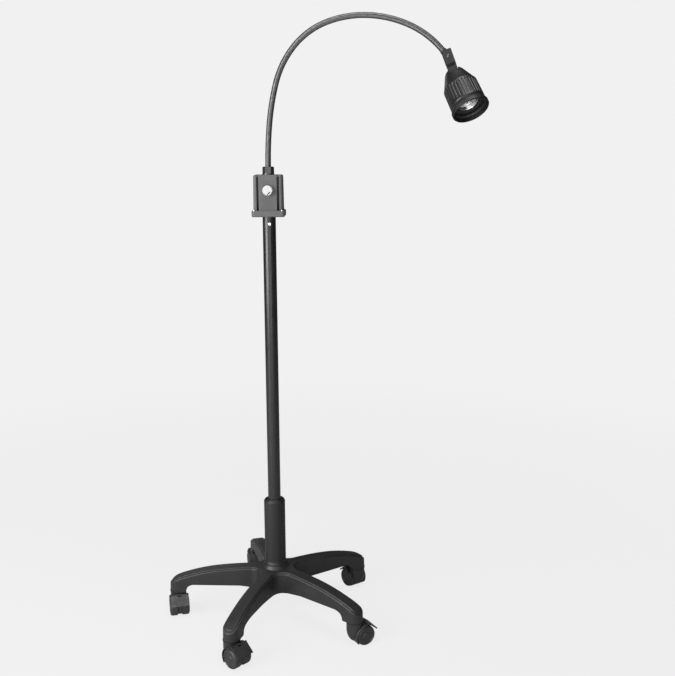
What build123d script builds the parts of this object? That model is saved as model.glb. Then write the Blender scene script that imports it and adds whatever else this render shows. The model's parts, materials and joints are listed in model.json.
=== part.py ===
from build123d import *
import os
from math import cos, hypot, radians, sin

# Examination lamp on a five-armed stand with braked casters.
# Frame: origin on the floor under the pole's axis, +X the way the gooseneck reaches, +Z up.
# Lengths are in millimetres, angles in degrees.

os.makedirs("parts", exist_ok=True)

RUNNING = 0.05                 # radial clearance of a shaft that turns in its bore
GAP = 0.4                      # gap between faces that pass each other

# Star base
ARMS = 5
FIRST_ARM = -2.3 + 36.0        # direction of the first arm
STEM_CIRCLE_R = 259.0          # from the pole's axis to a caster's stem
ARM_W = 41.0
ARM_END_R = ARM_W / 2
VALLEY_R = 26.0                # rounding between two arms
ARM_DRAFT = 1.5
BOSS_Z = 61.0                  # underside of the caster bosses
HUB_Z = 78.0                   # underside of the hub
TRIM_DROP = 2.8                # how far the arm's edge lies below its raised top
TRIM_W = 5.5
PANEL_FOOT_Z = 80.0            # where the raised tops start, inside the arms
CELLS = [(62, 123), (118, 115.5), (174, 103)]   # open cells below an arm: inner radius, roof height
BOLT_R = 5.0
BOLT_HEAD_R = 9.5
BOLT_POCKET_R = 13.0
SOCKET_R_OUT = 8.0             # caster sockets
SOCKET_T = 2.0                 # their flange, below the boss
SOCKET_DEPTH = 27.0
HUB_CONE_Z = 128.0             # cone that the sleeve stands on
HUB_CONE_R = 37.0
HUB_TOP_Z = 141.0

# Column
POLE_R = 16.0
POLE_WALL = 1.5
POLE_FOOT_Z = 100.0
POLE_PLUG = 24.0               # height of the tapped plug welded into its foot
POLE_TOP_Z = 1058.0
SLEEVE_R = 27.0
SLEEVE_WALL = 3.0
SLEEVE_TOP_Z = 316.0
COLLAR_H = 24.0
POLE_SCREW_X = 2.0
POLE_SCREW_Z = 1020.5
POLE_SCREW_R = 2.0

# Control box
PLINTH = Vector(79.0, 74.0, 15.0)
PLINTH_CORNER_R = 7.0
PLINTH_Z = 1038.0
BOX_Z = PLINTH_Z + PLINTH.Z
BOX_TOP_Z = 1137.0
BOX_DEPTH = 62.0
BOX_W_BOTTOM = 70.4
BOX_W_TOP = 68.4
PANEL_W = 44.0
BOX_CORNER_R = 5.0
GROOVE_W = 5.0
GROOVE_DEPTH = 3.5
WALL = 2.5
KNOB_Z = 1101.0
KNOB_R = 12.0
KNOB_REACH = 14.0
DIMMER_NECK_R = 4.0            # hole for the dimmer's neck in the casing and the panel
STEM_KNOB_R = 3.0
GLAND_Z = 1072.0
GLAND_R = 6.0
LEAD_BORE_R = 3.6
SCREW_HEAD_R = 2.4
SCREW_R = 1.5

# Gooseneck: arcs of equal length, the heading measured from +Z towards +X at their ends
NECK_R = 7.0
NECK_BORE_R = 3.0
NECK_START_Z = 1157.0
ARC_LENGTH = 95.7
HEADINGS = [0.0, 5.5, 14.5, 40.0, 70.0, 92.0, 112.0, 137.0]
BALL_R = 4.6
SOCKET_R = 4.9
LINK_GAP = 2.2                 # from a ball's centre to the end face of each link
NUT_R = 14.0
NUT_H = 19.0
NUT_TAIL_R = 9.0               # of the nut's threaded end, inside the box
NUT_FLANGE = 3.0
SET_SCREW_X = -2.5             # seat of its set screw, on the front flat
SET_SCREW_H = 12.5

# Lamp head and its two pivots
FERRULE_R = 8.3
FERRULE_GRIP = 9.0             # how far it reaches over the neck
FITTING_REACH = 26.0           # from the neck's end to the first pivot
TONGUE_W = 16.0
TONGUE_T = 7.0
SCREW_1_R = 3.0                # first and second pivot screws
SCREW_2_R = 2.5
ARM_LEAN = 21.5                # of the tilt arm, from straight down towards +X
ARM_REACH = 46.0               # between the two pivots
HEAD_TILT = 31.0               # of the head towards the viewer, from the tilt arm
TILT_ARM_W = 22.5
TILT_ARM_TOP = 16.0
KNUCKLE_R = 5.5
CAP_PIVOT = 8.0                # from the cap's top to the second pivot
CHEEK_X = 19.0                 # where the heads of the second pivot's screw bear
SLOT_FLOOR = 14.5              # of the slot for the tilt arm, from the cap's top
CAP_TOP_R = 21.5
CAP_H = 41.0
BARREL_R = 39.6
BARREL_MOUTH_R = 42.0
BARREL_END = 97.5
RIBS = 32
RIB_END = 82.0
RIB_GAP = Vector(3.6, 3.0)     # width and depth of the cuts between the ribs
RING_R = 44.8
HEAD_LENGTH = 112.0
LAMP_R = 25.0
LAMP_RIM = 92.0                # the lamp's rim, from the cap's top

# Casters, in their own frame: +X is the trail, the axle lies along Y
WHEEL_R = 25.0
WHEEL_W = 20.0
WEB_W = 10.0
TRAIL = 20.0
AXLE_R = 4.0
STEM_R = 5.5
STEM_FOOT_Z = 43.5
STEM_LENGTH = 41.5
HOOD_TOP_Z = BOSS_Z - SOCKET_T - GAP
HOOD_R = 28.5
HOOD_END = TRAIL + 2.0         # where the hood stops and the pedal starts
SHOULDER_R = 6.0               # rounding of a wheel's outer edge
PEDAL_W = 45.0
PEDAL_SLOPE = 38.0
PEDAL_HINGE = Vector(TRAIL + 6.5, 0, 56.0)
PEDAL_LENGTH = 32.0
PEDAL_BACK = 1.3               # from the hinge's line to the pedal's upper face
PEDAL_REACH_R = WHEEL_R + 2.2  # its hollow, round the wheels
PIN_R = 1.2
TRAIL_DIRECTIONS = [125.0, 105.0, 284.0, 315.0, 30.0]


def write(shape, label):
    """Name a finished piece and write its STEP file."""
    shape.label = label
    export_step(shape, f"parts/{label}.step")


def place(piece, plane, label):
    """Write a piece that was modelled in the frame of a plane."""
    write(plane.location * piece.part, label)


def arm_direction(index):
    return FIRST_ARM + index * 360.0 / ARMS


def stem_point(index):
    turn = radians(arm_direction(index))
    return Vector(STEM_CIRCLE_R * cos(turn), STEM_CIRCLE_R * sin(turn), 0)


# ---------------------------------------------------------------- star base

def star_sketch(grow):
    """Plan of the five arms, moved outwards by grow."""
    with BuildSketch() as plan:
        with PolarLocations(STEM_CIRCLE_R / 2, ARMS, start_angle=FIRST_ARM):
            Rectangle(STEM_CIRCLE_R, ARM_W + 2 * grow)
        with PolarLocations(STEM_CIRCLE_R, ARMS, start_angle=FIRST_ARM):
            Circle(ARM_END_R + grow)
        inner = plan.vertices().sort_by(lambda v: hypot(v.X, v.Y))[:ARMS]
        fillet(inner, VALLEY_R - grow)
    return plan.sketch


def arm_crown(drop):
    """Body under the arms' arched top line, lowered by drop."""
    with BuildPart() as crown:
        with BuildSketch(Plane.XZ):
            with BuildLine():
                top = Spline(
                    (0, 133 - drop), (60, 132.5 - drop), (120, 129 - drop), (180, 121 - drop),
                    (235, 107 - drop), (265, 95 - drop), (284, 78 - drop),
                    tangents=[(1, 0), (0.45, -0.9)],
                )
                Polyline(top @ 1, (284, 40), (0, 40), top @ 0)
            make_face()
        revolve(axis=Axis.Z)
    return crown.part


def make_star_base():
    with BuildPart() as under:
        with BuildSketch(Plane.XZ):
            with BuildLine():
                arch = Spline(
                    (58, HUB_Z), (100, HUB_Z + 5), (165, HUB_Z + 8), (215, HUB_Z + 5), (231, HUB_Z - 2),
                    (236, BOSS_Z + 2),
                    tangents=[(1, 0.1), (0.05, -1)],
                )
                Polyline(arch @ 1, (262, 40), (0, 40), (0, HUB_Z), arch @ 0)
            make_face()
        revolve(axis=Axis.Z)
        with PolarLocations(STEM_CIRCLE_R, ARMS, start_angle=FIRST_ARM):
            Cylinder(ARM_END_R, 200, mode=Mode.SUBTRACT)

    with BuildPart() as raised:
        with BuildSketch(Plane.XY.offset(PANEL_FOOT_Z)):
            add(star_sketch(-TRIM_W))
        extrude(amount=70)
        add(arm_crown(0), mode=Mode.INTERSECT)
        crown_face = raised.faces().sort_by(lambda f: f.center().Z)[-1]
        fillet(crown_face.edges(), TRIM_DROP - 0.3)

    with BuildPart() as base:
        with BuildSketch(Plane.XY.offset(BOSS_Z)):
            add(star_sketch(0))
        extrude(amount=90, taper=ARM_DRAFT)
        add(arm_crown(TRIM_DROP), mode=Mode.INTERSECT)
        crown_face = base.faces().sort_by(lambda f: f.center().Z)[-1]
        fillet(crown_face.edges(), 3.5)
        add(under.part, mode=Mode.SUBTRACT)
        add(raised.part)
        # hub cone that the sleeve stands on
        with BuildSketch(Plane.XY.offset(HUB_CONE_Z)):
            Circle(HUB_CONE_R)
        extrude(amount=HUB_TOP_Z - HUB_CONE_Z, taper=28)
        # socket of the pole and hole of its bolt
        with BuildSketch(Plane.XY.offset(POLE_FOOT_Z)):
            Circle(POLE_R + RUNNING)
        extrude(amount=80, mode=Mode.SUBTRACT)
        with BuildSketch(Plane.XY.offset(HUB_Z)):
            Circle(BOLT_R + 0.2)
        extrude(amount=40, mode=Mode.SUBTRACT)
        with BuildSketch(Plane.XY.offset(HUB_Z)):
            Circle(BOLT_POCKET_R)
        extrude(amount=8, mode=Mode.SUBTRACT)
        # ribbed underside: three open cells in each arm
        for inner_r, roof_z in CELLS:
            with BuildSketch(Plane.XY.offset(HUB_Z - 2)):
                with PolarLocations(inner_r + 25, ARMS, start_angle=FIRST_ARM):
                    RectangleRounded(50, ARM_W - 12, 4)
            extrude(amount=roof_z - HUB_Z + 2, mode=Mode.SUBTRACT)
        # bores of the caster sockets
        with BuildSketch(Plane.XY.offset(BOSS_Z)):
            with PolarLocations(STEM_CIRCLE_R, ARMS, start_angle=FIRST_ARM):
                Circle(SOCKET_R_OUT)
        extrude(amount=SOCKET_DEPTH, mode=Mode.SUBTRACT)
    write(base.part, "star_base")


def make_caster_mounts():
    with BuildPart() as sockets:
        with PolarLocations(STEM_CIRCLE_R, ARMS, start_angle=FIRST_ARM):
            with Locations((0, 0, BOSS_Z)):
                Cylinder(SOCKET_R_OUT, SOCKET_DEPTH, align=(Align.CENTER, Align.CENTER, Align.MIN))
            with Locations((0, 0, BOSS_Z - SOCKET_T)):
                Cylinder(ARM_END_R + 1, SOCKET_T, align=(Align.CENTER, Align.CENTER, Align.MIN))
        with BuildSketch(Plane.XY.offset(BOSS_Z - SOCKET_T - 1)):
            with PolarLocations(STEM_CIRCLE_R, ARMS, start_angle=FIRST_ARM):
                Circle(STEM_R + RUNNING)
        extrude(amount=SOCKET_DEPTH + 1, mode=Mode.SUBTRACT)
    write(sockets.part, "caster_sockets")

    with BuildPart() as stems:
        with BuildSketch(Plane.XY.offset(STEM_FOOT_Z)):
            with PolarLocations(STEM_CIRCLE_R, ARMS, start_angle=FIRST_ARM):
                Circle(STEM_R)
        extrude(amount=STEM_LENGTH)
        tips = stems.edges().filter_by(GeomType.CIRCLE).group_by(Axis.Z)
        chamfer(tips[-1], 1)
        chamfer(tips[0], 1)
    write(stems.part, "caster_stems")


# ------------------------------------------------------------------- column

def make_column():
    with BuildPart() as bolt:
        with BuildSketch(Plane.XY.offset(HUB_Z + 0.5)):
            RegularPolygon(BOLT_HEAD_R, 6)
        extrude(amount=7.5)
        with BuildSketch(Plane.XY.offset(HUB_Z + 8)):
            Circle(BOLT_R)
        extrude(amount=30)
        chamfer(bolt.faces().sort_by(Axis.Z)[-1].edges(), 1)
    write(bolt.part, "pole_bolt")

    with BuildPart() as pole:
        with BuildSketch(Plane.XY.offset(POLE_FOOT_Z)):
            Circle(POLE_R)
        extrude(amount=POLE_TOP_Z - POLE_FOOT_Z)
        # the foot is a welded plug, tapped for the bolt
        with BuildSketch(Plane.XY.offset(POLE_FOOT_Z + POLE_PLUG)):
            Circle(POLE_R - POLE_WALL)
        extrude(amount=POLE_TOP_Z, mode=Mode.SUBTRACT)
        with BuildSketch(Plane.XY.offset(POLE_FOOT_Z)):
            Circle(BOLT_R)
        extrude(amount=POLE_PLUG, mode=Mode.SUBTRACT)
        with BuildSketch(Plane.XZ.offset(POLE_R - POLE_WALL - 1)):
            with Locations((POLE_SCREW_X, POLE_SCREW_Z)):
                Circle(POLE_SCREW_R)
        extrude(amount=4, mode=Mode.SUBTRACT)
    write(pole.part, "pole")

    with BuildPart() as screw:
        with BuildSketch(Plane.XZ.offset(POLE_R - POLE_WALL - 1)):
            with Locations((POLE_SCREW_X, POLE_SCREW_Z)):
                Circle(POLE_SCREW_R)
        extrude(amount=2.6)
        with BuildSketch(Plane.XZ.offset(POLE_R + 0.02)):
            with Locations((POLE_SCREW_X, POLE_SCREW_Z)):
                Circle(4.4)
        extrude(amount=2.4)
        fillet(screw.faces().sort_by(Axis.Y)[0].edges(), 1.6)
        with BuildSketch(Plane.XZ.offset(POLE_R + 1.5)):
            with Locations((POLE_SCREW_X, POLE_SCREW_Z)):
                Rectangle(3.6, 0.9)
                Rectangle(0.9, 3.6)
        extrude(amount=3, mode=Mode.SUBTRACT)
    write(screw.part, "pole_screw")

    with BuildPart() as sleeve:
        with BuildSketch(Plane.XZ):
            with BuildLine():
                Polyline(
                    (SLEEVE_R - SLEEVE_WALL, HUB_TOP_Z), (SLEEVE_R + 2.5, HUB_TOP_Z),
                    (SLEEVE_R + 2.5, HUB_TOP_Z + 3), (SLEEVE_R, HUB_TOP_Z + 10),
                    (SLEEVE_R, SLEEVE_TOP_Z - 4), (SLEEVE_R - 2.6, SLEEVE_TOP_Z),
                    (SLEEVE_R - SLEEVE_WALL - 1, SLEEVE_TOP_Z),
                    (SLEEVE_R - SLEEVE_WALL, SLEEVE_TOP_Z - 1.5),
                    (SLEEVE_R - SLEEVE_WALL, HUB_TOP_Z),
                )
            make_face()
        revolve(axis=Axis.Z)
        rim = sleeve.edges().filter_by(GeomType.CIRCLE).group_by(Axis.Z)[-2]
        fillet(rim.sort_by(lambda e: e.radius)[-1], 1.5)
    write(sleeve.part, "column_sleeve")

    inner_r = POLE_R + RUNNING
    outer_r = SLEEVE_R - SLEEVE_WALL
    foot_z = SLEEVE_TOP_Z - COLLAR_H
    with BuildPart() as collar:
        with BuildSketch(Plane.XZ):
            with BuildLine():
                Polyline(
                    (inner_r, foot_z), (outer_r, foot_z), (outer_r, SLEEVE_TOP_Z - 3),
                    (outer_r - 2, SLEEVE_TOP_Z - 3), (inner_r + 2.2, SLEEVE_TOP_Z + 1.5),
                    (inner_r, SLEEVE_TOP_Z + 1.5), (inner_r, foot_z),
                )
            make_face()
        revolve(axis=Axis.Z)
    write(collar.part, "sleeve_collar")


# -------------------------------------------------------------- control box

def screw_places():
    """The four plinth screws (pointing up) and the four rear cover screws (pointing back)."""
    plinth_x = PLINTH.X / 2 - 6.3
    plinth_y = PLINTH.Y / 2 - 3.4
    upright = [
        Plane(origin=(x, y, BOX_Z), z_dir=(0, 0, 1))
        for x in (-plinth_x, plinth_x)
        for y in (-plinth_y, plinth_y)
    ]
    backward = [
        Plane(origin=(x, BOX_DEPTH / 2, z), z_dir=(0, 1, 0))
        for x in (-25, 25)
        for z in (BOX_Z + 9, BOX_TOP_Z - 11)
    ]
    return upright + backward


def box_shell(inset, z_low, z_high):
    """Tapering body with the box's sides moved in by inset."""
    width_rate = (BOX_W_TOP - BOX_W_BOTTOM) / (BOX_TOP_Z - BOX_Z)
    with BuildPart() as shell:
        for z in (z_low, z_high):
            width = BOX_W_BOTTOM + width_rate * (z - BOX_Z) - 2 * inset
            with BuildSketch(Plane.XY.offset(z)):
                RectangleRounded(width, BOX_DEPTH - 2 * inset, BOX_CORNER_R)
        loft()
    return shell.part


def make_box():
    with BuildPart() as plinth:
        with BuildSketch(Plane.XY.offset(PLINTH_Z)):
            RectangleRounded(PLINTH.X, PLINTH.Y, PLINTH_CORNER_R)
        extrude(amount=PLINTH.Z)
        fillet(plinth.faces().sort_by(Axis.Z)[-1].outer_wire().edges(), 2)
        fillet(plinth.faces().sort_by(Axis.Z)[0].outer_wire().edges(), 3)
        with BuildSketch(Plane.XY.offset(PLINTH_Z)):
            Circle(POLE_R + RUNNING)
        extrude(amount=PLINTH.Z, mode=Mode.SUBTRACT)
        for seat in screw_places()[:4]:
            with BuildSketch(seat):
                Circle(SCREW_R)
            extrude(amount=-10, mode=Mode.SUBTRACT)
    write(plinth.part, "box_plinth")

    seat_w = PANEL_W + 2 * GROOVE_W
    with BuildPart() as casing:
        add(box_shell(0, BOX_Z, BOX_TOP_Z))
        fillet(casing.faces().sort_by(Axis.Z)[-1].edges(), 4.2)
        # cavity, open below and at the back
        with BuildSketch(Plane.XY.offset(BOX_Z)):
            with Locations((0, 1.5)):
                RectangleRounded(BOX_W_TOP - 2 * WALL, BOX_DEPTH - 9, 1.5)
        extrude(amount=BOX_TOP_Z - BOX_Z - 3, mode=Mode.SUBTRACT)
        with BuildSketch(Plane.XZ.offset(-BOX_DEPTH / 2)):
            with Locations((0, (BOX_Z + BOX_TOP_Z) / 2)):
                RectangleRounded(60, BOX_TOP_Z - BOX_Z - 10, 3)
        extrude(amount=4, mode=Mode.SUBTRACT)
        # seat of the front panel, which leaves a groove at each side of it
        with BuildSketch(Plane.XZ.offset(BOX_DEPTH / 2 - GROOVE_DEPTH)):
            with Locations((0, BOX_Z + 40)):
                Rectangle(seat_w, 100)
        extrude(amount=10, mode=Mode.SUBTRACT)
        with BuildSketch(Plane.XZ.offset(BOX_DEPTH / 2 - 8)):
            with Locations((0, KNOB_Z)):
                Circle(DIMMER_NECK_R)
        extrude(amount=8, mode=Mode.SUBTRACT)
        with BuildSketch(Plane.XY.offset(BOX_TOP_Z - 4)):
            Circle(NUT_TAIL_R + RUNNING)
        extrude(amount=8, mode=Mode.SUBTRACT)
    write(casing.part, "box_casing")

    with BuildPart() as panel:
        with BuildSketch(Plane.XZ.offset(BOX_DEPTH / 2 - GROOVE_DEPTH)):
            with Locations((0, (BOX_Z + BOX_TOP_Z) / 2)):
                Rectangle(PANEL_W, BOX_TOP_Z - BOX_Z)
        extrude(amount=GROOVE_DEPTH)
        front = panel.faces().sort_by(Axis.Y)[0]
        fillet(front.edges().filter_by(Axis.Z), 1.4)
        top_edge = panel.faces().sort_by(Axis.Y)[0].edges().sort_by(Axis.Z)[-1]
        fillet(top_edge, 2)
        with BuildSketch(Plane.XZ.offset(BOX_DEPTH / 2 - GROOVE_DEPTH)):
            with Locations((0, KNOB_Z)):
                Circle(DIMMER_NECK_R)
        extrude(amount=GROOVE_DEPTH, mode=Mode.SUBTRACT)
        with BuildSketch(Plane.XZ.offset(BOX_DEPTH / 2 - 0.8)):
            with Locations((0, KNOB_Z)):
                Circle(KNOB_R + 1.2)
        extrude(amount=2, mode=Mode.SUBTRACT)
    write(panel.part, "front_panel")

    with BuildPart() as cover:
        with BuildSketch(Plane.XZ.offset(-BOX_DEPTH / 2)):
            with Locations((0, (BOX_Z + BOX_TOP_Z) / 2)):
                RectangleRounded(59.6, BOX_TOP_Z - BOX_Z - 10.4, 2.8)
        extrude(amount=2.8)
        with BuildSketch(Plane.XZ.offset(-BOX_DEPTH / 2)):
            with Locations((0, GLAND_Z)):
                Circle(GLAND_R)
        extrude(amount=4, mode=Mode.SUBTRACT)
        # cooling slots above the transformer
        with BuildSketch(Plane.XZ.offset(-BOX_DEPTH / 2)):
            with Locations((0, BOX_Z + 58)):
                with GridLocations(0, 4.5, 1, 5):
                    SlotOverall(30, 2)
        extrude(amount=4, mode=Mode.SUBTRACT)
        for seat in screw_places()[4:]:
            with BuildSketch(seat):
                Circle(SCREW_R)
            extrude(amount=-4, mode=Mode.SUBTRACT)
    write(cover.part, "rear_cover")

    with BuildPart() as screws:
        for seat in screw_places():
            with BuildSketch(seat):
                Circle(SCREW_HEAD_R)
            extrude(amount=1.7, taper=12)
            with BuildSketch(seat):
                Circle(SCREW_R)
            extrude(amount=-8)
            with BuildSketch(seat.offset(0.9)):
                Rectangle(2.8, 0.7)
                Rectangle(0.7, 2.8)
            extrude(amount=2, mode=Mode.SUBTRACT)
    write(screws.part, "box_screws")

    with BuildPart() as gland:
        with BuildSketch(Plane.XZ.offset(-BOX_DEPTH / 2)):
            with Locations((0, GLAND_Z)):
                RegularPolygon(8.5, 6)
        extrude(amount=-5)
        with BuildSketch(Plane.XZ.offset(-BOX_DEPTH / 2 - 5)):
            with Locations((0, GLAND_Z)):
                Circle(6.8)
        extrude(amount=-7, taper=8)
        with BuildSketch(Plane.XZ.offset(-BOX_DEPTH / 2)):
            with Locations((0, GLAND_Z)):
                Circle(GLAND_R)
        extrude(amount=8)
        with BuildSketch(Plane.XZ.offset(-BOX_DEPTH / 2 + 8)):
            with Locations((0, GLAND_Z)):
                Circle(LEAD_BORE_R)
        extrude(amount=-30, mode=Mode.SUBTRACT)
    write(gland.part, "cable_gland")


def make_electrics():
    core_z = BOX_Z + 8
    with BuildPart() as transformer:
        with Locations((0, 8, core_z + 18)):
            Box(46, 22, 36)
        with Locations((-11.5, 8, core_z + 18), (11.5, 8, core_z + 18)):
            Box(8, 30, 24, mode=Mode.SUBTRACT)
        with Locations((0, 6, core_z + 18)):
            Box(31, 26, 23)
        fillet(transformer.edges().filter_by(Axis.Z).sort_by(Axis.Y)[:4], 1.5)
    write(transformer.part, "transformer")

    board_y = -BOX_DEPTH / 2 + 14
    with BuildPart() as board:
        with Locations((0, board_y, KNOB_Z)):
            Box(42, 1.6, 48)
        with BuildSketch(Plane.XZ.offset(-board_y)):
            with Locations((0, KNOB_Z)):
                Circle(8)
        extrude(amount=5.5)
        with Locations((-13, board_y + 4, KNOB_Z - 14), (13, board_y + 4, KNOB_Z - 14)):
            Box(9, 7, 12)
        with BuildSketch(Plane.XZ.offset(-board_y)):
            with Locations((0, KNOB_Z)):
                Circle(STEM_KNOB_R + RUNNING)
        extrude(amount=8, mode=Mode.SUBTRACT)
    write(board.part, "dimmer_board")

    # knob and its stem, which turn together in the dimmer
    front_y = BOX_DEPTH / 2
    with BuildPart() as knob:
        with BuildSketch(Plane.XZ.offset(front_y - 0.3)):
            with Locations((0, KNOB_Z)):
                Circle(KNOB_R)
        extrude(amount=KNOB_REACH, taper=1.5)
        fillet(knob.faces().sort_by(Axis.Y)[0].edges(), 1.6)
        with BuildSketch(Plane.XZ.offset(front_y - 13)):
            with Locations((0, KNOB_Z)):
                Circle(STEM_KNOB_R)
        extrude(amount=14)
        with BuildSketch(Plane.XZ.offset(front_y + KNOB_REACH - 1)):
            with BuildLine():
                Line((-1.6, KNOB_Z - 11.4), (7.1, KNOB_Z - 2.7))
            trace(line_width=1.3)
        extrude(amount=3, mode=Mode.SUBTRACT)
    write(knob.part, "knob")

    # hexagon nut with a flat to the front, on a round flange
    flat = NUT_R * cos(radians(30))
    with BuildPart() as nut:
        with BuildSketch(Plane.XY.offset(BOX_TOP_Z)):
            RegularPolygon(NUT_R, 6)
        extrude(amount=NUT_H)
        with BuildSketch(Plane.XZ):
            with BuildLine():
                Polyline(
                    (0, BOX_TOP_Z), (NUT_R, BOX_TOP_Z), (NUT_R, BOX_TOP_Z + NUT_H - 1.5),
                    (flat - 0.6, BOX_TOP_Z + NUT_H), (0, BOX_TOP_Z + NUT_H), (0, BOX_TOP_Z),
                )
            make_face()
        revolve(axis=Axis.Z, mode=Mode.INTERSECT)
        with BuildSketch(Plane.XY.offset(BOX_TOP_Z)):
            Circle(NUT_R + 0.6)
        extrude(amount=NUT_FLANGE)
        with BuildSketch(Plane.XY.offset(BOX_TOP_Z - 8)):
            Circle(NUT_TAIL_R)
        extrude(amount=8)
        with BuildSketch(Plane.XY.offset(BOX_TOP_Z - 8)):
            Circle(NECK_R + RUNNING)
        extrude(amount=NUT_H + 8, mode=Mode.SUBTRACT)
        with BuildSketch(Plane.XZ.offset(flat - 0.6)):
            with Locations((SET_SCREW_X, BOX_TOP_Z + SET_SCREW_H)):
                Circle(2.2)
        extrude(amount=2, mode=Mode.SUBTRACT)
    write(nut.part, "neck_nut")


# ---------------------------------------------------------------- gooseneck

def neck_frame(length):
    """Plane across the neck at a length along it: +Z along the neck, +X to the inside of its bends."""
    point = Vector(0, 0, NECK_START_Z)
    whole = min(int(length / ARC_LENGTH), len(HEADINGS) - 2)
    for index in range(whole + 1):
        run = ARC_LENGTH if index < whole else length - whole * ARC_LENGTH
        turn = radians(HEADINGS[index + 1] - HEADINGS[index])
        start = radians(HEADINGS[index])
        end = start + turn * run / ARC_LENGTH
        radius = ARC_LENGTH / turn
        point += Vector(cos(start) - cos(end), 0, sin(end) - sin(start)) * radius
    return Plane(origin=point, x_dir=(cos(end), 0, -sin(end)), z_dir=(sin(end), 0, cos(end)))


def neck_arc(low, high):
    """The tube of one arc, between two lengths along the neck."""
    index = int((low + 0.01) / ARC_LENGTH)
    turn = HEADINGS[index + 1] - HEADINGS[index]
    frame = neck_frame(low)
    centre = frame.origin + frame.x_dir * (ARC_LENGTH / radians(turn))
    with BuildPart() as arc:
        with BuildSketch(frame):
            Circle(NECK_R)
            Circle(NECK_BORE_R, mode=Mode.SUBTRACT)
        revolve(axis=Axis(centre, (0, 1, 0)), revolution_arc=turn * (high - low) / ARC_LENGTH)
    return arc.part


def make_gooseneck():
    with BuildPart() as first:
        with BuildSketch(Plane.XY.offset(BOX_TOP_Z - 6)):
            Circle(NECK_R)
            Circle(NECK_BORE_R, mode=Mode.SUBTRACT)
        extrude(amount=NECK_START_Z - BOX_TOP_Z + 6)
        add(neck_arc(0, ARC_LENGTH))
        add(neck_arc(ARC_LENGTH, 2 * ARC_LENGTH - LINK_GAP))
        with Locations(neck_frame(2 * ARC_LENGTH)):
            Sphere(BALL_R)
    write(first.part, "gooseneck_1")

    for index in range(2, len(HEADINGS) - 1):
        start = index * ARC_LENGTH
        end = start + ARC_LENGTH
        last = index == len(HEADINGS) - 2
        with BuildPart() as link:
            add(neck_arc(start + LINK_GAP, end if last else end - LINK_GAP))
            # the end face closes the tube round its socket
            with BuildSketch(neck_frame(start + LINK_GAP)):
                Circle(NECK_R - 0.5)
            extrude(amount=5)
            with Locations(neck_frame(start)):
                Sphere(SOCKET_R, mode=Mode.SUBTRACT)
            if not last:
                with Locations(neck_frame(end)):
                    Sphere(BALL_R)
        write(link.part, f"gooseneck_{index}")


# ---------------------------------------------------------------- lamp head

NECK_END = neck_frame((len(HEADINGS) - 1) * ARC_LENGTH)
PIVOT_1 = NECK_END.origin + NECK_END.z_dir * FITTING_REACH
ARM_DOWN = Vector(sin(radians(ARM_LEAN)), 0, -cos(radians(ARM_LEAN)))
ARM_ACROSS = Vector(cos(radians(ARM_LEAN)), 0, sin(radians(ARM_LEAN)))
TILT_ARM = Plane(origin=PIVOT_1, x_dir=ARM_ACROSS, z_dir=ARM_DOWN)
PIVOT_2 = PIVOT_1 + ARM_DOWN * ARM_REACH
HEAD_AXIS = ARM_DOWN * cos(radians(HEAD_TILT)) + Vector(0, -1, 0) * sin(radians(HEAD_TILT))
HEAD = Plane(origin=PIVOT_2 - HEAD_AXIS * CAP_PIVOT, x_dir=ARM_ACROSS, z_dir=HEAD_AXIS)


def make_neck_fitting():
    """Ferrule on the neck's end with a tongue for the first pivot."""
    with BuildPart() as fitting:
        with BuildSketch(Plane.XY.offset(-FERRULE_GRIP)):
            Circle(FERRULE_R)
        extrude(amount=FERRULE_GRIP + 5.4)
        fillet(fitting.edges().filter_by(GeomType.CIRCLE), 1.0)
        with BuildSketch(Plane.XZ.offset(-TONGUE_T / 2)):
            with Locations((0, 15)):
                Rectangle(TONGUE_W, 22)
            with Locations((0, FITTING_REACH)):
                Circle(TONGUE_W / 2)
        extrude(amount=TONGUE_T)
        with BuildSketch(Plane.XY.offset(-FERRULE_GRIP)):
            Circle(NECK_R)
        extrude(amount=FERRULE_GRIP, mode=Mode.SUBTRACT)
        with BuildSketch(Plane.XY.offset(-1)):
            Circle(NECK_BORE_R)
        extrude(amount=9, mode=Mode.SUBTRACT)
        with BuildSketch(Plane.XZ.offset(-TONGUE_T)):
            with Locations((0, FITTING_REACH)):
                Circle(SCREW_1_R + RUNNING)
        extrude(amount=2 * TONGUE_T, mode=Mode.SUBTRACT)
    place(fitting, NECK_END, "neck_fitting")


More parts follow.
